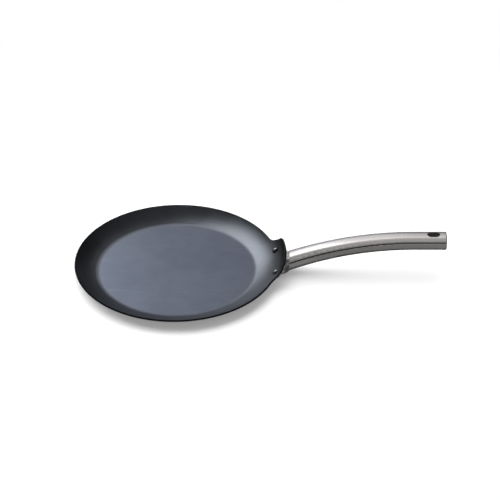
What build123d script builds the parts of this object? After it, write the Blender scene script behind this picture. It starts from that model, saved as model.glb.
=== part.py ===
from build123d import *
from math import asin, atan2, cos, degrees, hypot, radians, sin, sqrt
import os

os.makedirs("parts", exist_ok=True)

# Sizes are in millimetres and angles in degrees. The origin is the middle of the pan's
# underside, the pan rests on z = 0, and the handle runs out along +X.

# Pan: one disc of sheet steel, pressed into a shallow dish
sheet = 2.5
floor_diameter = 212.5
heel_radius = 18.0
heel_slope = 17.0
wall_spread = 32.25
depth = 14.7
edge_round = 0.6

# Ear: the tab of the same sheet that carries the handle, bent up steeper than the wall
ear_height = 17.8
ear_start = 3.0
ear_bend = 23.0
ear_crest_radius = 200.0
ear_width = 73.0
ear_root_width = 98.0
ear_shoulder = 12.0
ear_flare = 3.0
ear_flare_radius = 8.0

# Handle: two shells of thin stainless sheet, level at the end and bowed down to the foot.
# The belly bows a little tighter than the crown, so the handle is deeper at the foot.
handle_length = 214.0
level_length = 43.5
root_gap = 16.0
root_rise = 11.57
grip_width = 22.2
grip_height = 20.8
crown_bow = 481.0
bow_taper = 21.0
crown_radius = 34.0
crown_shoulder = 5.0
belly_corner = 6.5
shell = 1.2
end_round = 1.8

# Seam: the lower shell's stepped lip goes up inside the upper shell and leaves a groove
seam_drop = 7.2
seam_gap = 1.5
step_height = 1.5
lip = 1.0
lip_height = 3.0
ledge_round = 0.9

# Hanging hole: an oval tube through both shells
hole_length = 17.4
hole_width = 11.0
hole_from_end = 18.0
sleeve_wall = 1.0

# Foot: cast stainless, spread out behind the ear, with a spigot inside the handle
flange = 4.0
flange_width = 71.0
flange_height = 16.5
flange_round = 1.5
neck_width = 46.0
neck_head_width = 34.0
neck_rise = 14.0
neck_fall = 8.0
waist_toe = 8.0
waist_heel = 1.7
waist_dip = 1.5
waist_width = 36.0
waist_head_width = 24.0
neck_corner = 3.5
neck_shoulder = 8.0
spigot_length = 20.0

# Rivets: domed heads inside the pan, tails upset behind the foot
rivet_spread = 52.0
rivet_drop = 1.4
head_diameter = 8.8
head_height = 2.0
shank_diameter = 5.0
tail_diameter = 9.0
tail_height = 1.8
tail_seat = 0.4

# Fits, and one overrun for every cut
fit = 0.05
overrun = 40.0

# Where the pan's bends hand over to each other, seen in the XZ plane
heel_end = (
    floor_diameter / 2 + heel_radius * sin(radians(heel_slope)),
    sheet + heel_radius * (1 - cos(radians(heel_slope))),
)
rim = (floor_diameter / 2 + wall_spread, sheet + depth)
wall_run = rim[0] - heel_end[0]
wall_rise = rim[1] - heel_end[1]
wall_turn = 2 * (degrees(atan2(wall_rise, wall_run)) - heel_slope)
wall_radius = hypot(wall_run, wall_rise) / 2 / sin(radians(wall_turn / 2))
rim_slope = heel_slope + wall_turn
rim_lean = (sin(radians(rim_slope)), cos(radians(rim_slope)))
wall_centre = (rim[0] - wall_radius * rim_lean[0], rim[1] + wall_radius * rim_lean[1])
bend_slope = rim_slope + degrees(ear_start / wall_radius)
bend_lean = (sin(radians(bend_slope)), cos(radians(bend_slope)))
ear_centre = (
    wall_centre[0] + (wall_radius - ear_bend) * bend_lean[0],
    wall_centre[1] - (wall_radius - ear_bend) * bend_lean[1],
)
ear_turn = 90 - bend_slope

# Where the handle starts behind the ear, meets its level run and ends
root_reach = rim[0] + root_gap
handle_reach = root_reach + handle_length
level_start = handle_reach - level_length
bow_length = level_start - root_reach
belly_bow = crown_bow - bow_taper
root_top = rim[1] + root_rise
grip_top = root_top + crown_bow - sqrt(crown_bow**2 - bow_length**2)
root_bottom = grip_top - belly_bow + sqrt((belly_bow - grip_height) ** 2 - bow_length**2)
level_plane = Plane((level_start, 0, grip_top), x_dir=(0, 1, 0), z_dir=(1, 0, 0))
root_plane = Plane((root_reach, 0, root_top), x_dir=(0, 1, 0), z_dir=(1, 0, 0))
hole_plane = Plane((handle_reach - hole_from_end, 0, grip_top))

seam_top = seam_drop - seam_gap / 2
seam_bottom = seam_drop + seam_gap / 2
rivet_grip = sheet + fit + flange - tail_seat
sides = {"left": 1, "right": -1}


def skin_point(out, climb):
    """The point that far outside the pan's inner face and that far up the slope from the rim."""
    if climb > ear_start:
        centre, radius, slope = ear_centre, ear_bend, bend_slope + degrees((climb - ear_start) / ear_bend)
    else:
        centre, radius, slope = wall_centre, wall_radius, rim_slope + degrees(climb / wall_radius)
    lean = radians(slope)
    return Vector(centre[0] + (radius + out) * sin(lean), 0, centre[1] - (radius + out) * cos(lean))


def slope_between(low, high):
    """The slope of the line between two points of the section."""
    return degrees(atan2(high.Z - low.Z, high.X - low.X))


def leaning_plane(low, high):
    """The plane across the handle midway between two points of the section, facing outwards."""
    lean = radians(slope_between(low, high))
    return Plane((low + high) / 2, x_dir=(0, 1, 0), z_dir=(sin(lean), 0, -cos(lean)))


def meridian(out):
    """The pan's section line that far outside its inner face, from the axis up to the ear."""
    floor = Line((0, sheet - out), (floor_diameter / 2, sheet - out))
    heel = JernArc(floor @ 1, (1, 0), heel_radius + out, heel_slope)
    wall = JernArc(heel @ 1, heel % 1, wall_radius + out, bend_slope - heel_slope)
    ear = JernArc(wall @ 1, wall % 1, ear_bend + out, ear_turn)
    return [floor, heel, wall, ear]


def pan_space(out):
    """Everything on the pan's side of the face that far outside its inner face."""
    with BuildPart() as space:
        with BuildSketch(Plane.XZ):
            with BuildLine():
                line = meridian(out)
                brim = Line(line[-1] @ 1, line[-1] @ 1 + Vector(0, overrun))
                Polyline(brim @ 1, (0, (brim @ 1).Y), line[0] @ 0)
            make_face()
        revolve(axis=Axis.Z)
    return space.part


def rim_plane(slope):
    """A plane on the rim under the ear, leaning with the given slope and facing into the pan."""
    lean = radians(slope)
    return Plane((rim[0], 0, rim[1]), x_dir=(0, -1, 0), z_dir=(-sin(lean), 0, cos(lean)))


def rivet_plane(side):
    """The plane along a rivet's axis: its radius runs along x and its head lies towards y."""
    on_wall = skin_point(0, -rivet_drop)
    into_pan = skin_point(-sheet, -rivet_drop) - on_wall
    turn = side * degrees(asin(rivet_spread / 2 / on_wall.X))
    across = Vector(0, 1, 0).rotate(Axis.Z, turn)
    axis = into_pan.rotate(Axis.Z, turn)
    return Plane(on_wall.rotate(Axis.Z, turn), x_dir=across, z_dir=across.cross(axis))


def rivet_seat(side, behind):
    """The plane square to a rivet, that far behind the underside of its head."""
    section = rivet_plane(side)
    return Plane(section.origin, x_dir=section.x_dir, z_dir=section.y_dir).offset(-behind)


def grip_outline(inset, height=grip_height):
    """The handle's section, hung from its crown, that much inside its outer face."""
    crown_drop = crown_radius - sqrt(crown_radius**2 - (grip_width / 2) ** 2)
    with BuildSketch() as outline:
        with BuildLine():
            crown = ThreePointArc((-grip_width / 2, -crown_drop), (0, 0), (grip_width / 2, -crown_drop))
            Polyline(crown @ 1, (grip_width / 2, -height), (-grip_width / 2, -height), crown @ 0)
        make_face()
        fillet(outline.vertices().group_by(Axis.Y)[-1], crown_shoulder)
        fillet(outline.vertices().group_by(Axis.Y)[0], belly_corner)
        if inset > 0:
            offset(amount=-inset, mode=Mode.REPLACE)
    return outline.sketch


def neck_outline(height, width, head_width):
    """A section of the foot's neck, wide below and rounded off above."""
    with BuildSketch() as outline:
        Trapezoid(width, height, degrees(atan2(height, (width - head_width) / 2)))
        fillet(outline.vertices().group_by(Axis.Y)[-1], neck_shoulder)
        fillet(outline.vertices().group_by(Axis.Y)[0], neck_corner)
    return outline.sketch


def seam_strip(top, bottom):
    """A strip wider than the handle between two drops below the crown."""
    with BuildSketch() as strip:
        with Locations((0, -(top + bottom) / 2)):
            Rectangle(2 * grip_width, bottom - top)
    return strip.sketch


def along_handle(face, bow, end_inset):
    """The face carried along the handle, from near its end to well past the foot."""
    turn = degrees(asin(bow_length / (bow - 2 * grip_height)))
    with BuildPart() as run:
        with BuildSketch(level_plane, mode=Mode.PRIVATE) as across:
            add(face)
        extrude(across.sketch, amount=level_length - end_inset)
        centre = (level_start, 0, grip_top - bow)
        revolve(across.sketch, axis=Axis(centre, (0, -1, 0)), revolution_arc=turn)
    return run.part


def grip_solid(bow):
    """The whole handle as one block, with its end rounded."""
    with BuildPart() as block:
        add(along_handle(grip_outline(0), bow, 0))
        fillet(block.faces().sort_by(Axis.X)[-1].edges(), end_round)
    return block.part


def grip_core(bow, inset):
    """The space that far inside the handle's skin, with a closed end."""
    return along_handle(grip_outline(inset), bow, inset)


# Trimmings: all of the pressed blank above the rim, apart from the ear
with BuildPart() as trimmings:
    with BuildSketch(Plane.XZ):
        with BuildLine():
            low_in = skin_point(-sheet, 0)
            low_out = skin_point(2 * sheet, 0)
            top = low_out.Z + overrun
            beyond = low_out.X + overrun
            inward = low_in.X - sheet
            Polyline(
                (low_in.X, low_in.Z),
                (low_out.X, low_out.Z),
                (beyond, low_out.Z),
                (beyond, top),
                (inward, top),
                (inward, low_in.Z),
                (low_in.X, low_in.Z),
            )
        make_face()
    revolve(axis=Axis.Z)
    ear_slope = slope_between(skin_point(0, 0), skin_point(0, ear_height))
    with BuildSketch(rim_plane(ear_slope)) as ear_outline:
        root_fall = (rim[0] - sqrt(rim[0] ** 2 - (ear_root_width / 2) ** 2)) * cos(radians(ear_slope))
        crest_fall = ear_crest_radius - sqrt(ear_crest_radius**2 - (ear_width / 2) ** 2)
        shoulder = Vector(ear_width / 2, ear_height - crest_fall)
        root = Vector(ear_root_width / 2, -root_fall)
        fall = (root - shoulder).normalized()
        along_rim = Vector(rim[0], -ear_root_width / 2 * cos(radians(ear_slope))).normalized()
        flare_start = root - fall * ear_flare
        flare_end = flare_start + (fall + along_rim).normalized() * overrun
        with BuildLine():
            crest = ThreePointArc((-shoulder.X, shoulder.Y), (0, ear_height), shoulder)
            Polyline(
                crest @ 1,
                flare_start,
                flare_end,
                (-flare_end.X, flare_end.Y),
                (-flare_start.X, flare_start.Y),
                crest @ 0,
            )
        make_face()
        fillet(ear_outline.vertices().group_by(Axis.Y)[-1], ear_shoulder)
        fillet(ear_outline.vertices().group_by(Axis.Y)[1], ear_flare_radius)
    extrude(amount=overrun, both=True, mode=Mode.SUBTRACT)

# Pan body: the dish and its ear in one sheet
with BuildPart() as pan_body:
    with BuildSketch(Plane.XZ):
        with BuildLine():
            inside = meridian(0)
            outside = meridian(sheet)
            Line(inside[0] @ 0, outside[0] @ 0)
            Line(inside[-1] @ 1, outside[-1] @ 1)
        make_face()
    revolve(axis=Axis.Z)
    add(trimmings.part, mode=Mode.SUBTRACT)
    skins = pan_body.faces().filter_by(GeomType.TORUS) + pan_body.faces().filter_by(GeomType.REVOLUTION)
    cuts = pan_body.faces() - skins - pan_body.faces().filter_by(Axis.Z)
    fillet(skins.edges() & cuts.edges(), edge_round)
    for side in sides.values():
        with BuildSketch(rivet_seat(side, 0)):
            Circle(shank_diameter / 2 + fit)
        extrude(amount=overrun / 2, both=True, mode=Mode.SUBTRACT)
        with BuildSketch(rivet_seat(side, 0)):
            Circle(head_diameter / 2 + fit)
        extrude(amount=head_height, mode=Mode.SUBTRACT)
pan_body.part.label = "pan_body"
export_step(pan_body.part, "parts/pan_body.step")

# Oval way through both shells, which clears the sleeve
with BuildPart() as hole_cut:
    with BuildSketch(hole_plane):
        SlotOverall(hole_length + 2 * (sleeve_wall + fit), hole_width + 2 * (sleeve_wall + fit))
    extrude(amount=overrun, both=True)

# Upper shell: the crown and the shoulders, down to the groove
with BuildPart() as handle_upper_shell:
    add(grip_solid(crown_bow))
    add(grip_core(crown_bow, shell), mode=Mode.SUBTRACT)
    add(along_handle(seam_strip(-overrun, seam_top), belly_bow, -overrun), mode=Mode.INTERSECT)
    add(hole_cut.part, mode=Mode.SUBTRACT)
    split(bisect_by=root_plane)
handle_upper_shell.part.label = "handle_upper_shell"
export_step(handle_upper_shell.part, "parts/handle_upper_shell.step")

# Lower shell: the sides and belly, the step under the groove and the lip inside the upper shell
with BuildPart() as step_ring:
    add(grip_core(belly_bow, (ledge_round + shell) / 2))
    add(grip_core(belly_bow, shell + fit + lip), mode=Mode.SUBTRACT)
    add(along_handle(seam_strip(seam_bottom, seam_bottom + step_height), belly_bow, 0), mode=Mode.INTERSECT)
with BuildPart() as lip_ring:
    add(grip_core(belly_bow, shell + fit))
    add(grip_core(belly_bow, shell + fit + lip), mode=Mode.SUBTRACT)
    add(
        along_handle(seam_strip(seam_top - lip_height, seam_bottom + step_height), belly_bow, 0),
        mode=Mode.INTERSECT,
    )
with BuildPart() as handle_lower_shell:
    add(grip_solid(belly_bow))
    add(along_handle(seam_strip(seam_bottom, overrun), belly_bow, -overrun), mode=Mode.INTERSECT)
    ledge = handle_lower_shell.faces().filter_by(lambda face: face.normal_at().Z > 0.8)
    skin = handle_lower_shell.faces().sort_by(Axis.X)[1:] - ledge
    fillet(ledge.edges() & skin.edges(), ledge_round)
    add(grip_core(belly_bow, shell), mode=Mode.SUBTRACT)
    add(step_ring.part)
    add(lip_ring.part)
    add(hole_cut.part, mode=Mode.SUBTRACT)
    split(bisect_by=root_plane)
handle_lower_shell.part.label = "handle_lower_shell"
export_step(handle_lower_shell.part, "parts/handle_lower_shell.step")

# Sleeve: an oval tube whose ends follow the outside of the handle
with BuildPart() as hanging_hole_sleeve:
    with BuildSketch(hole_plane):
        SlotOverall(hole_length + 2 * sleeve_wall, hole_width + 2 * sleeve_wall)
        SlotOverall(hole_length, hole_width, mode=Mode.SUBTRACT)
    extrude(amount=overrun, both=True)
    add(grip_solid(belly_bow), mode=Mode.INTERSECT)
hanging_hole_sleeve.part.label = "hanging_hole_sleeve"
export_step(hanging_hole_sleeve.part, "parts/hanging_hole_sleeve.step")

# Spigot: the tongue of the foot that fills the mouth of the handle
with BuildPart() as spigot:
    add(grip_core(belly_bow, shell + lip + 2 * fit))
    split(bisect_by=root_plane)
    split(bisect_by=root_plane.offset(spigot_length), keep=Keep.BOTTOM)

# Foot: a rounded flange behind the ear, the neck that gathers it into the handle, and the spigot
neck_low = skin_point(0, -neck_fall)
neck_high = skin_point(0, neck_rise)
waist_low = Vector(root_reach - waist_toe, 0, root_bottom)
waist_high = Vector(root_reach - waist_heel, 0, root_top - waist_dip)
with BuildPart() as handle_foot:
    add(pan_space(sheet + fit + flange))
    with BuildSketch(rim_plane(rim_slope)):
        rivet_fall = (rim[0] - sqrt(rim[0] ** 2 - (rivet_spread / 2) ** 2)) * rim_lean[1]
        with Locations((0, -rivet_fall - rivet_drop)):
            SlotOverall(flange_width, flange_height)
    extrude(amount=overrun, both=True, mode=Mode.INTERSECT)
    back = handle_foot.faces().filter_by(GeomType.TORUS)
    flank = handle_foot.faces() - back
    fillet(back.edges() & flank.edges(), flange_round)
    with BuildSketch(leaning_plane(neck_low, neck_high)):
        add(neck_outline((neck_high - neck_low).length, neck_width, neck_head_width))
    with BuildSketch(leaning_plane(waist_low, waist_high)):
        add(neck_outline((waist_high - waist_low).length, waist_width, waist_head_width))
    with BuildSketch(root_plane):
        add(grip_outline(0, root_top - root_bottom))
    loft()
    add(pan_space(sheet + fit), mode=Mode.SUBTRACT)
    add(spigot.part)
    for side in sides.values():
        with BuildSketch(rivet_seat(side, 0)):
            Circle(shank_diameter / 2 + fit)
        extrude(amount=overrun / 2, both=True, mode=Mode.SUBTRACT)
        with BuildSketch(rivet_seat(side, rivet_grip)):
            Circle(tail_diameter / 2 + fit)
        extrude(amount=-overrun / 2, mode=Mode.SUBTRACT)
handle_foot.part.label = "handle_foot"
export_step(handle_foot.part, "parts/handle_foot.step")

# Rivets
for name, side in sides.items():
    with BuildPart() as rivet:
        with BuildSketch(rivet_plane(side)):
            with BuildLine():
                head = TangentArc((0, head_height), (head_diameter / 2, 0), tangent=(1, 0))
                tail = TangentArc(
                    (0, -rivet_grip - tail_height), (tail_diameter / 2, -rivet_grip), tangent=(1, 0)
                )
                Polyline(
                    head @ 1, (shank_diameter / 2, 0), (shank_diameter / 2, -rivet_grip), tail @ 1
                )
                Line(head @ 0, tail @ 0)
            make_face()
        revolve(axis=Axis(rivet_plane(side).origin, rivet_plane(side).y_dir))
    rivet.part.label = f"rivet_{name}"
    export_step(rivet.part, f"parts/rivet_{name}.step")
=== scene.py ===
import math

import bmesh
import bpy
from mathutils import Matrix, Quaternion, Vector


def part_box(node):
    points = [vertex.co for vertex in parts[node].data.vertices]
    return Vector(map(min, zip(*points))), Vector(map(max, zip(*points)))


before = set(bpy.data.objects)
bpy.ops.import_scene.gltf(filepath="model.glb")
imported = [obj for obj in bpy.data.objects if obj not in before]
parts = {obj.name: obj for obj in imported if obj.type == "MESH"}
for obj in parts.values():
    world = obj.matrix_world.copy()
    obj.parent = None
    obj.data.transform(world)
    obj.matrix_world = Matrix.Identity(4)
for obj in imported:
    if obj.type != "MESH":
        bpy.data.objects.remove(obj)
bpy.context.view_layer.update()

# Camera
# A long lens a good three metres off, so the perspective is slight. It looks along the width of the
# pan, 34.6 degrees down. The dip is in degrees and the turn in radians.
lens_length = 158.4
sensor_width = 36
camera_place = (0.10180, -2.47653, 1.73967)
camera_dip = 34.552
camera_turn = 0.00044

lens = bpy.data.cameras.new("camera")
lens.lens = lens_length
lens.sensor_width = sensor_width
camera = bpy.data.objects.new("camera", lens)
camera.location = camera_place
camera.rotation_euler = (math.radians(90 - camera_dip), 0, camera_turn)
bpy.context.scene.collection.objects.link(camera)
bpy.context.scene.camera = camera
bpy.context.scene.view_settings.view_transform = "Standard"

# Pan body
# One disc of rolled sheet steel with the ear left on it, pressed into a shallow dish. The skin is a
# satin blue-grey: tumbled, then heated, so it has soft clouds, a faint rolling grain and hairlines.


def add_node(tree, kind, sockets=None, **settings):
    """One shader node. Sockets take a number, a colour or another node's output."""
    made = tree.nodes.new(kind)
    for name, value in settings.items():
        setattr(made, name, value)
    for name, value in (sockets or {}).items():
        if isinstance(value, bpy.types.NodeSocket):
            tree.links.new(value, made.inputs[name])
        else:
            made.inputs[name].default_value = value
    return made


def number(tree, operation, first, second=0.0, third=0.0):
    """The result of one Math node."""
    made = add_node(tree, "ShaderNodeMath", {0: first, 1: second, 2: third}, operation=operation)
    return made.outputs[0]


def measure(tree, operation, first, second=(0.0, 0.0, 0.0)):
    """The number that one Vector Math node gives: a length, a distance or a dot product."""
    made = add_node(tree, "ShaderNodeVectorMath", {0: first, 1: second}, operation=operation)
    return made.outputs["Value"]


def coordinate(tree, vector, axis):
    """The X, Y or Z of a vector."""
    return add_node(tree, "ShaderNodeSeparateXYZ", {0: vector}).outputs[axis]


def between(tree, value, low, high, low_out=0.0, high_out=1.0):
    """Value from low to high becomes low_out to high_out, with a smooth start and end."""
    made = add_node(
        tree, "ShaderNodeMapRange",
        {"Value": value, "From Min": low, "From Max": high, "To Min": low_out, "To Max": high_out},
        interpolation_type="SMOOTHSTEP",
    )
    return made.outputs["Result"]


def blend_colours(tree, amount, first, second):
    """First colour where amount is 0, second where it is 1."""
    made = add_node(tree, "ShaderNodeMix", {0: amount, 6: first, 7: second}, data_type="RGBA")
    return made.outputs[2]


def blend_some(tree, amount, share, first, second):
    """Like blend_colours, with only that share of the second colour at most."""
    return blend_colours(tree, number(tree, "MULTIPLY", amount, share), first, second)


def stretched(tree, vector, scale):
    """The vector times a scale along each axis."""
    made = add_node(tree, "ShaderNodeMapping", {"Vector": vector, "Scale": scale})
    return made.outputs[0]


def noise(tree, vector, scale, detail=2.0, roughness=0.5):
    """Noise from 0 to 1, with features about one over scale metres long."""
    made = add_node(
        tree, "ShaderNodeTexNoise",
        {"Vector": vector, "Scale": scale, "Detail": detail, "Roughness": roughness},
    )
    return made.outputs[0]


def new_group(name, numbers, outputs):
    """An empty node group with a Vector input, the named numbers as inputs, and the named outputs."""
    tree = bpy.data.node_groups.new(name, "ShaderNodeTree")
    tree.interface.new_socket("Vector", in_out="INPUT", socket_type="NodeSocketVector")
    for socket, value in numbers.items():
        made = tree.interface.new_socket(socket, in_out="INPUT", socket_type="NodeSocketFloat")
        made.default_value = value
    for socket in outputs:
        tree.interface.new_socket(socket, in_out="OUTPUT", socket_type="NodeSocketFloat")
    return tree, tree.nodes.new("NodeGroupInput"), tree.nodes.new("NodeGroupOutput")


def place_group(tree, group, sockets):
    """The outputs of one use of a node group in a material."""
    return add_node(tree, "ShaderNodeGroup", sockets, node_tree=group).outputs


# Soft clouds, as heat and handling leave on steel: large patches with smaller ones inside them.
small_cloud_share = 0.35
small_cloud_ratio = 4.3
cloud_edges = (0.36, 0.64)
clouds, into, out = new_group("Clouds", {"Scale": 12.0}, ["Clouds"])
large = noise(clouds, into.outputs["Vector"], into.outputs["Scale"], detail=3.0, roughness=0.55)
small_scale = number(clouds, "MULTIPLY", into.outputs["Scale"], small_cloud_ratio)
small = noise(clouds, into.outputs["Vector"], small_scale, detail=3.0)
large_part = number(clouds, "MULTIPLY", large, 1 - small_cloud_share)
mixed = number(clouds, "MULTIPLY_ADD", small, small_cloud_share, large_part)
clouds.links.new(between(clouds, mixed, *cloud_edges), out.inputs["Clouds"])

# Even fine grain, as tumbling or blasting leaves: one height for the bump and one mask for the gloss.
pit_ratio = 0.31
pit_edges = (0.60, 0.72)
grain, into, out = new_group("Fine grain", {"Scale": 2200.0}, ["Height", "Pits"])
peaks = noise(grain, into.outputs["Vector"], into.outputs["Scale"], roughness=0.6)
pit_scale = number(grain, "MULTIPLY", into.outputs["Scale"], pit_ratio)
pits = noise(grain, into.outputs["Vector"], pit_scale)
grain.links.new(peaks, out.inputs["Height"])
grain.links.new(between(grain, pits, *pit_edges), out.inputs["Pits"])

# Hairline scratches from use and stacking: thin broken lines in two directions.
scratch_turns = (0.5, -0.9)
scratch_stretch = (0.02, 1.0, 1.0)
scratch_edges = (0.68, 0.74)
break_ratio = 0.06
break_edges = (0.5, 0.62)
hairlines, into, out = new_group("Hairlines", {"Scale": 900.0}, ["Lines"])
crossing = []
for turn in scratch_turns:
    turned = add_node(
        hairlines, "ShaderNodeMapping",
        {"Vector": into.outputs["Vector"], "Rotation": (0.0, 0.0, turn), "Scale": scratch_stretch},
    ).outputs[0]
    thin = noise(hairlines, turned, into.outputs["Scale"], detail=1.0)
    break_scale = number(hairlines, "MULTIPLY", into.outputs["Scale"], break_ratio)
    broken = noise(hairlines, turned, break_scale, detail=1.0)
    line = between(hairlines, thin, *scratch_edges)
    crossing.append(number(hairlines, "MULTIPLY", line, between(hairlines, broken, *break_edges)))
hairlines.links.new(number(hairlines, "MAXIMUM", *crossing), out.inputs["Lines"])


def new_finish(name):
    """A metal with one Principled BSDF. Returns it with its tree, shader and Object coordinates."""
    made = bpy.data.materials.new(name)
    made.use_nodes = True
    tree = made.node_tree
    shader = tree.nodes["Principled BSDF"]
    shader.inputs["Metallic"].default_value = 1.0
    where = tree.nodes.new("ShaderNodeTexCoord").outputs["Object"]
    return made, tree, shader, where


def layered(tree, start, *layers):
    """The start value, plus each layer's mask times that layer's share."""
    for mask, share in layers:
        start = number(tree, "MULTIPLY_ADD", mask, share, start)
    return start


def raise_bump(tree, shader, height, depth):
    """A bump of that depth in metres on the shader."""
    made = add_node(tree, "ShaderNodeBump", {"Strength": 1.0, "Distance": depth, "Height": height})
    tree.links.new(made.outputs["Normal"], shader.inputs["Normal"])


def dress(piece, made):
    """The material goes into every slot of a carried-over part."""
    mesh = parts[piece].data
    if not mesh.materials:
        mesh.materials.append(made)
    for place in range(len(mesh.materials)):
        mesh.materials[place] = made


floor_to_wall = (0.100, 0.114)
blued_dark = (0.100, 0.116, 0.154, 1.0)
blued_light = (0.115, 0.132, 0.172, 1.0)
wall_dark = (0.113, 0.123, 0.140, 1.0)
wall_light = (0.129, 0.139, 0.156, 1.0)
rolled_streak = (0.150, 0.160, 0.184, 1.0)
scratched_steel = (0.26, 0.27, 0.29, 1.0)
edge_painted_shade = (0.011, 0.012, 0.015, 1.0)
rivet_painted_shade = (0.012, 0.013, 0.016, 1.0)
streak_share = 0.14
scratch_share = 0.35
rolling_stretch = (0.035, 1.0, 1.0)
rolling_scale = 620.0
rolling_edges = (0.3, 0.7)
pan_roughness = 0.30
pan_bump = 0.000012

pan_steel, tree, steel, where = new_finish("pan_steel")
cloud = place_group(tree, clouds, {"Vector": where, "Scale": 11.0})["Clouds"]
skin = place_group(tree, grain, {"Vector": where, "Scale": 2400.0})
scratch = place_group(tree, hairlines, {"Vector": where, "Scale": 850.0})["Lines"]
rolling = noise(tree, stretched(tree, where, rolling_stretch), rolling_scale, detail=3.0, roughness=0.6)
flattened = add_node(
    tree, "ShaderNodeVectorMath", {0: where, 1: (1.0, 1.0, 0.0)}, operation="MULTIPLY"
).outputs[0]
radius = measure(tree, "LENGTH", flattened)
blued = blend_colours(tree, cloud, blued_dark, blued_light)
grey = blend_colours(tree, cloud, wall_dark, wall_light)
tone = blend_colours(tree, between(tree, radius, *floor_to_wall), blued, grey)
tone = blend_some(tree, between(tree, rolling, *rolling_edges), streak_share, tone, rolled_streak)
tone = blend_some(tree, scratch, scratch_share, tone, scratched_steel)

# Painted shade: the sheared edge of rim and ear, facing up and out or along the rim, is painted near
# black.
brim_edges = (0.20, 0.45)
flank_edges = (0.84, 0.50)
bevel_facing = (0.79, 0.90)
bevel_height = (0.0150, 0.0165)
facing = tree.nodes.new("ShaderNodeTexCoord").outputs["Normal"]
outward = add_node(tree, "ShaderNodeVectorMath", {0: flattened}, operation="NORMALIZE").outputs[0]
outwards = measure(tree, "DOT_PRODUCT", facing, outward)
upwards = coordinate(tree, facing, "Z")
upwards_squared = number(tree, "MULTIPLY", upwards, upwards)
slope = number(tree, "ADD", number(tree, "MULTIPLY", outwards, outwards), upwards_squared)
brim = between(tree, number(tree, "MINIMUM", outwards, upwards), *brim_edges)
flank = between(tree, slope, *flank_edges)
# The rounded bevel that faces up at the rim's height gets the same painted shade.
near_rim = between(tree, coordinate(tree, where, "Z"), *bevel_height)
bevel = number(tree, "MULTIPLY", between(tree, upwards, *bevel_facing), near_rim)
edge_shade_mask = number(tree, "MAXIMUM", number(tree, "MAXIMUM", brim, flank), bevel)
tone = blend_colours(tree, edge_shade_mask, tone, edge_painted_shade)

# The sheet is darker on the near side of each rivet head, where the photo shows a crescent of shade.
# The crescent is painted shade in the sheet's colour.
shade_offset = Vector((-0.0007, -0.0020, 0.0032))
shade_edges = (0.0056, 0.0046)
for name in ("rivet_left", "rivet_right"):
    low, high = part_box(name)
    shade_centre = (Vector(low) + Vector(high)) / 2 + shade_offset
    shade = between(tree, measure(tree, "DISTANCE", where, shade_centre), *shade_edges)
    tone = blend_colours(tree, shade, tone, rivet_painted_shade)
tree.links.new(tone, steel.inputs["Base Color"])
roughness = layered(tree, pan_roughness, (cloud, 0.04), (skin["Pits"], 0.08), (edge_shade_mask, 0.20))
tree.links.new(roughness, steel.inputs["Roughness"])
raise_bump(tree, steel, layered(tree, skin["Height"], (rolling, 0.6), (scratch, -0.8)), pan_bump)
dress("pan_body", pan_steel)

# Handle foot
# A stainless casting behind the ear, left as it was blasted, so its skin is mottled with a fine grain
# and a few small pits. Both rivets go through its flange, and its neck carries the handle.
casting_dark = (0.28, 0.270, 0.262, 1.0)
casting_light = (0.38, 0.366, 0.357, 1.0)
casting_mottle = (0.82, 0.79, 0.77, 1.0)
casting_pit = (0.22, 0.212, 0.205, 1.0)
mottle_share = 0.80
mottle_scale = 190.0
mottle_edges = (0.43, 0.57)
pit_share = 0.5
casting_roughness = 0.42
casting_bump = 0.00004

cast_stainless, tree, steel, where = new_finish("cast_stainless")
cloud = place_group(tree, clouds, {"Vector": where, "Scale": 60.0})["Clouds"]
skin = place_group(tree, grain, {"Vector": where, "Scale": 1500.0})
tone = blend_colours(tree, cloud, casting_dark, casting_light)
mottled = between(tree, noise(tree, where, mottle_scale), *mottle_edges)
tone = blend_some(tree, mottled, mottle_share, tone, casting_mottle)
tone = blend_some(tree, skin["Pits"], pit_share, tone, casting_pit)
tree.links.new(tone, steel.inputs["Base Color"])
roughness = layered(tree, casting_roughness, (cloud, 0.06), (skin["Pits"], 0.12))
tree.links.new(roughness, steel.inputs["Roughness"])
raise_bump(tree, steel, layered(tree, skin["Height"], (skin["Pits"], -1.0)), casting_bump)
dress("handle_foot", cast_stainless)

# Handle shells
# Two halves of the hollow handle, deep drawn from thin stainless sheet and welded inside along the
# step. They are ground and polished along their length, so the fine lines follow the bow.

# The top of the handle, where it turns level, and the radii of the bows of its crown and belly.
grip_top = 0.060
level_start = 0.325
crown_bow = 0.481
belly_bow = 0.460
least_square = 0.0001
brush_stretch = (0.012, 1.0, 1.0)
band_ratio = 0.14
band_edges = (0.3, 0.7)

brushing, into, out = new_group("Brushing", {"Scale": 1500.0}, ["Lines", "Bands"])
spot = add_node(brushing, "ShaderNodeSeparateXYZ", {0: into.outputs["Vector"]}).outputs
along = number(brushing, "MINIMUM", number(brushing, "SUBTRACT", spot["X"], level_start), 0.0)
below = number(brushing, "SUBTRACT", crown_bow ** 2, number(brushing, "MULTIPLY", along, along))
bow = number(brushing, "SQRT", number(brushing, "MAXIMUM", below, least_square))
level = number(brushing, "SUBTRACT", spot["Z"], bow)
unbent = add_node(brushing, "ShaderNodeCombineXYZ", {"X": spot["X"], "Y": spot["Y"], "Z": level})
lines = stretched(brushing, unbent.outputs[0], brush_stretch)
fine = noise(brushing, lines, into.outputs["Scale"], detail=3.0, roughness=0.65)
wide = noise(brushing, lines, number(brushing, "MULTIPLY", into.outputs["Scale"], band_ratio))
brushing.links.new(fine, out.inputs["Lines"])
brushing.links.new(between(brushing, wide, *band_edges), out.inputs["Bands"])

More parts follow.
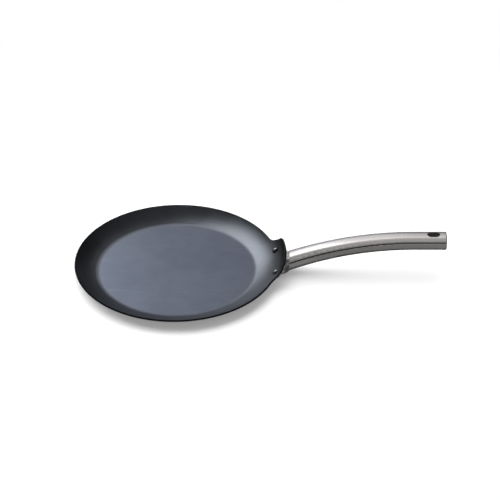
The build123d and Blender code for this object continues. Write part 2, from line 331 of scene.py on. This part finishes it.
# How far a spot lies below the seam's crown line, which bows tighter than the top of the handle.
seam_drop, into, out = new_group("Seam drop", {}, ["Drop"])
spot = add_node(seam_drop, "ShaderNodeSeparateXYZ", {0: into.outputs["Vector"]}).outputs
behind = number(seam_drop, "MINIMUM", number(seam_drop, "SUBTRACT", spot["X"], level_start), 0.0)
lifted = number(seam_drop, "SUBTRACT", spot["Z"], grip_top - belly_bow)
lifted_squared = number(seam_drop, "MULTIPLY", lifted, lifted)
squared = number(seam_drop, "MULTIPLY_ADD", behind, behind, lifted_squared)
reach = number(seam_drop, "SQRT", squared)
seam_drop.links.new(number(seam_drop, "SUBTRACT", belly_bow, reach), out.inputs["Drop"])

band_dark = (0.595, 0.568, 0.560, 1.0)
band_light = (0.660, 0.632, 0.622, 1.0)
handled_patch = (0.55, 0.526, 0.518, 1.0)
groove_painted_shade = (0.040, 0.038, 0.036, 1.0)
patch_share = 0.25
groove_shade_share = 0.95
groove_top = 0.00645
groove_bottom = 0.00795
fade_above = 0.0005
fade_below = 0.0003
fade_inside = 0.0001
handle_roughness = 0.20
handle_bump = 0.000010

handle_stainless, tree, steel, where = new_finish("handle_stainless")
cloud = place_group(tree, clouds, {"Vector": where, "Scale": 26.0})["Clouds"]
brushed = place_group(tree, brushing, {"Vector": where, "Scale": 1800.0})
scratch = place_group(tree, hairlines, {"Vector": where, "Scale": 1100.0})["Lines"]
tone = blend_colours(tree, brushed["Bands"], band_dark, band_light)
tone = blend_some(tree, cloud, patch_share, tone, handled_patch)

# Painted shade darkens the groove's colour, and the polishing wheel never reaches its floor.
from_crown = place_group(tree, seam_drop, {"Vector": where})["Drop"]
under_top = between(tree, from_crown, groove_top - fade_above, groove_top)
over_bottom = between(tree, from_crown, groove_bottom + fade_below, groove_bottom - fade_inside)
groove = number(tree, "MULTIPLY", under_top, over_bottom)
tone = blend_some(tree, groove, groove_shade_share, tone, groove_painted_shade)
tree.links.new(tone, steel.inputs["Base Color"])
roughness = layered(tree, handle_roughness, (brushed["Lines"], 0.12), (cloud, 0.03), (groove, 0.25))
tree.links.new(roughness, steel.inputs["Roughness"])
raise_bump(tree, steel, layered(tree, brushed["Lines"], (scratch, -0.6)), handle_bump)
dress("handle_lower_shell", handle_stainless)
dress("handle_upper_shell", handle_stainless)

# Hanging hole sleeve
# A short oval tube of thin stainless that lines the hole through both shells. It is pressed in and
# ground flush with them after, so it has the finish of the handle.
dress("hanging_hole_sleeve", handle_stainless)

# Rivets
# Two solid stainless rivets through the ear and the foot, headed cold in a domed set. The head keeps
# the light marks of the set, and hairlines where it has been scrubbed.
rivet_dark = (0.30, 0.297, 0.294, 1.0)
rivet_light = (0.38, 0.376, 0.372, 1.0)
painted_dome_reflection = (0.03, 0.03, 0.032, 1.0)
near_side = (0.40, -0.87, 0.30)
near_edges = (0.24, 0.50)
rivet_roughness = 0.36
rivet_bump = 0.000010

rivet_stainless, tree, steel, where = new_finish("rivet_stainless")
cloud = place_group(tree, clouds, {"Vector": where, "Scale": 160.0})["Clouds"]
skin = place_group(tree, grain, {"Vector": where, "Scale": 3200.0})
scratch = place_group(tree, hairlines, {"Vector": where, "Scale": 2200.0})["Lines"]
tone = blend_colours(tree, cloud, rivet_dark, rivet_light)

# Painted reflection: the near side of each dome is darker, as if it mirrored the dark sheet beside it.
facing = tree.nodes.new("ShaderNodeTexCoord").outputs["Normal"]
nearwards = measure(tree, "DOT_PRODUCT", facing, near_side)
tone = blend_colours(tree, between(tree, nearwards, *near_edges), tone, painted_dome_reflection)
tree.links.new(tone, steel.inputs["Base Color"])
roughness = layered(tree, rivet_roughness, (skin["Pits"], 0.12), (cloud, 0.06))
tree.links.new(roughness, steel.inputs["Roughness"])
raise_bump(tree, steel, layered(tree, skin["Height"], (scratch, -0.8)), rivet_bump)
dress("rivet_left", rivet_stainless)
dress("rivet_right", rivet_stainless)

# Floor and room
# A white table that runs out of sight. It is matt, keeps the soft shadow under the pan, and shows
# plain white to the camera and in the metal beyond the shadow.


def keep_shape(name, shape):
    """An object from a finished bmesh."""
    mesh = bpy.data.meshes.new(name)
    shape.to_mesh(mesh)
    shape.free()
    return bpy.data.objects.new(name, mesh)


def flat_sheet(name, reach, middle):
    """A square sheet that lies flat, with its sides that far from its middle."""
    shape = bmesh.new()
    bmesh.ops.create_grid(shape, x_segments=1, y_segments=1, size=reach)
    bmesh.ops.translate(shape, verts=shape.verts, vec=middle)
    return keep_shape(name, shape)


def seen_directly(tree):
    """1 for rays from the camera, and for those that metal or glass sends on, else 0."""
    rays = tree.nodes.new("ShaderNodeLightPath").outputs
    seen = number(tree, "MAXIMUM", rays["Is Camera Ray"], rays["Is Glossy Ray"])
    return number(tree, "MAXIMUM", seen, rays["Is Transmission Ray"])


floor_reach = 30.0
floor_middle = (0.0, 0.0, -0.0002)
table_paint = (0.78, 0.78, 0.78, 1.0)
table_roughness = 0.9
table_glow = 0.24
object_middle = Vector((0.10, 0.0, 0.0))
shadow_to_white = (0.30, 0.75)

floor = flat_sheet("floor", floor_reach, floor_middle)
bpy.context.scene.collection.objects.link(floor)
table_white = bpy.data.materials.new("table_white")
table_white.use_nodes = True
tree = table_white.node_tree
matt = tree.nodes["Principled BSDF"]
matt.inputs["Base Color"].default_value = table_paint
matt.inputs["Roughness"].default_value = table_roughness
matt.inputs["Specular IOR Level"].default_value = 0.0
seen = seen_directly(tree)
where = tree.nodes.new("ShaderNodeTexCoord").outputs["Object"]
far = between(tree, measure(tree, "DISTANCE", where, object_middle), *shadow_to_white)
near_glow = add_node(
    tree, "ShaderNodeEmission", {"Strength": number(tree, "MULTIPLY", seen, table_glow)}
)
lit = add_node(tree, "ShaderNodeAddShader", {0: matt.outputs[0], 1: near_glow.outputs[0]})
white = add_node(tree, "ShaderNodeEmission", {"Strength": 1.0})
surface = add_node(
    tree, "ShaderNodeMixShader",
    {0: number(tree, "MULTIPLY", far, seen), 1: lit.outputs[0], 2: white.outputs[0]},
)
tree.links.new(surface.outputs[0], tree.nodes["Material Output"].inputs["Surface"])
floor.data.materials.append(table_white)

# The room is white where the camera or the metal sees it, and gives a low even fill to everything.
room_fill = 0.35
world = bpy.data.worlds.new("room")
bpy.context.scene.world = world
world.use_nodes = True
tree = world.node_tree
room = tree.nodes["Background"]
room.inputs["Color"].default_value = (1.0, 1.0, 1.0, 1.0)
room_level = number(tree, "MULTIPLY_ADD", seen_directly(tree), 1 - room_fill, room_fill)
tree.links.new(room_level, room.inputs["Strength"])

# Cards
# Grey cloth all round and a dark card on the table, as a studio sets up for steel. Only the metal sees
# them, and they give the dish and the handle their dark sides.


def only_in_metal(card):
    """A card that shows in reflections and nowhere else."""
    card.visible_camera = False
    card.visible_diffuse = False
    card.visible_transmission = False
    card.visible_shadow = False
    bpy.context.scene.collection.objects.link(card)


def new_cloth(name):
    """A material for a card, without a shader. Returns it with its tree and Object coordinates."""
    made = bpy.data.materials.new(name)
    made.use_nodes = True
    tree = made.node_tree
    tree.nodes.remove(tree.nodes["Principled BSDF"])
    return made, tree, tree.nodes.new("ShaderNodeTexCoord").outputs["Object"]


def shine(tree, sockets):
    """The card shines with that strength and colour."""
    glow = add_node(tree, "ShaderNodeEmission", sockets)
    tree.links.new(glow.outputs[0], tree.nodes["Material Output"].inputs["Surface"])


def towards(azimuth, elevation):
    """The direction at an azimuth left of straight behind the pan and an elevation, in degrees."""
    flat = math.cos(math.radians(elevation))
    return (
        -flat * math.sin(math.radians(azimuth)),
        flat * math.cos(math.radians(azimuth)),
        math.sin(math.radians(elevation)),
    )


def patch(tree, where, azimuth, elevation, inner, outer):
    """1 within the inner angle of a direction, falling to 0 at the outer one."""
    facing = measure(tree, "DOT_PRODUCT", where, towards(azimuth, elevation))
    reach = [tent_radius * math.cos(math.radians(angle)) for angle in (outer, inner)]
    return between(tree, facing, *reach)


tent_radius = 7.0
tent_grey = 0.12

# A patch has its azimuth and elevation, and how far from there it starts and ends its fall, in degrees.
front_patch = (180.0, 22.0, 18.0, 45.0)
front_level = 0.42
high_patch = (8.0, 43.0, 5.0, 30.0)
high_level = 0.92
low_patch = (12.0, 5.0, 5.0, 24.0)
low_level = 0.24
dark_patch = (-50.0, 28.0, 12.0, 36.0)
dark_level = -0.70
cool_patch = (0.0, 0.0, 8.0, 34.0)
plain_white = (1.0, 1.0, 1.0, 1.0)
cool_white = (0.90, 0.95, 1.10, 1.0)

tent_shape = bmesh.new()
bmesh.ops.create_icosphere(tent_shape, subdivisions=4, radius=tent_radius)
tent = keep_shape("tent", tent_shape)
only_in_metal(tent)
tent_cloth, tree, where = new_cloth("tent_cloth")
level = layered(
    tree, tent_grey,
    (patch(tree, where, *front_patch), front_level),
    (patch(tree, where, *high_patch), high_level),
    (patch(tree, where, *low_patch), low_level),
)
dimmed = layered(tree, 1.0, (patch(tree, where, *dark_patch), dark_level))
level = number(tree, "MULTIPLY", level, dimmed)
cool = blend_colours(tree, patch(tree, where, *cool_patch), plain_white, cool_white)
shine(tree, {"Color": cool, "Strength": level})
tent.data.materials.append(tent_cloth)

card_reach = 1.1
card_middle = (0.1, -0.1, -0.0001)
front_start = (-0.005, -0.050)
back_and_front_level = (0.05, 0.34)
pan_edge = (0.132, 0.150)
painted_pan_shadow_level = (0.10, 1.0)
card_fade = (0.165, 0.215)
card_fade_level = (1.0, 0.68)

table_card = flat_sheet("table_card", card_reach, card_middle)
only_in_metal(table_card)
card_grey, tree, where = new_cloth("card_grey")
from_axis = measure(tree, "LENGTH", where)
level = between(tree, coordinate(tree, where, "Y"), *front_start, *back_and_front_level)
# Inside the pan's edge the card is darker: a painted shadow of the pan, as the metal sees it.
level = number(tree, "MULTIPLY", level, between(tree, from_axis, *pan_edge, *painted_pan_shadow_level))
level = number(tree, "MULTIPLY", level, between(tree, from_axis, *card_fade, *card_fade_level))
shine(tree, {"Strength": level})
table_card.data.materials.append(card_grey)

# Lamps
# Softboxes behind and to the left make the highlights: one for the dish, a weaker one and a strip
# overhead for the handle. Two broad lamps light the table and draw the soft shadow.


def only(name, pieces):
    """A group of pieces that a lamp is kept to."""
    group = bpy.data.collections.new(name)
    for piece in pieces:
        group.objects.link(parts[piece])
    return group


def hang_lamp(name, direction, distance, size, power, roll=0.0, kept_to=None):
    """An area lamp that faces the object from a direction. Metal mirrors it if it is kept to pieces."""
    lamp = bpy.data.lights.new(name, "AREA")
    lamp.shape = "RECTANGLE"
    lamp.size, lamp.size_y = size
    lamp.energy = power
    hung = bpy.data.objects.new(name, lamp)
    facing = Vector(towards(*direction))
    hung.location = facing * distance + object_middle
    turned = facing.to_track_quat("Z", "Y") @ Quaternion((0.0, 0.0, 1.0), math.radians(roll))
    hung.rotation_euler = turned.to_euler()
    hung.visible_glossy = kept_to is not None
    if kept_to is not None:
        hung.light_linking.receiver_collection = kept_to
    bpy.context.scene.collection.objects.link(hung)


softbox_direction = (32.0, 43.0)
softbox_roll = -23.0
softbox_size = (0.95, 1.65)
lamp_distance = 2.3
dish_power = 15.5
grip_power = 6.6
strip_direction = (0.0, 86.0)
strip_distance = 1.3
strip_size = (2.2, 1.7)
strip_power = 5.5
table_lamp_size = (4.0, 4.0)
table_lamp_direction = (38.0, 56.0)
table_lamp_power = 45.0
table_fill_direction = (38.0, 52.0)
table_fill_power = 92.0

dish = only("dish", ["pan_body", "rivet_left", "rivet_right"])
grip = only("grip", [name for name in parts if name.startswith(("handle", "hanging"))])
hang_lamp("softbox", softbox_direction, lamp_distance, softbox_size, dish_power, softbox_roll, dish)
hang_lamp("grip_softbox", softbox_direction, lamp_distance, softbox_size, grip_power, softbox_roll, grip)
hang_lamp("grip_strip", strip_direction, strip_distance, strip_size, strip_power, kept_to=grip)
hang_lamp("table_lamp", table_lamp_direction, lamp_distance, table_lamp_size, table_lamp_power)
hang_lamp("table_fill", table_fill_direction, lamp_distance, table_lamp_size, table_fill_power)
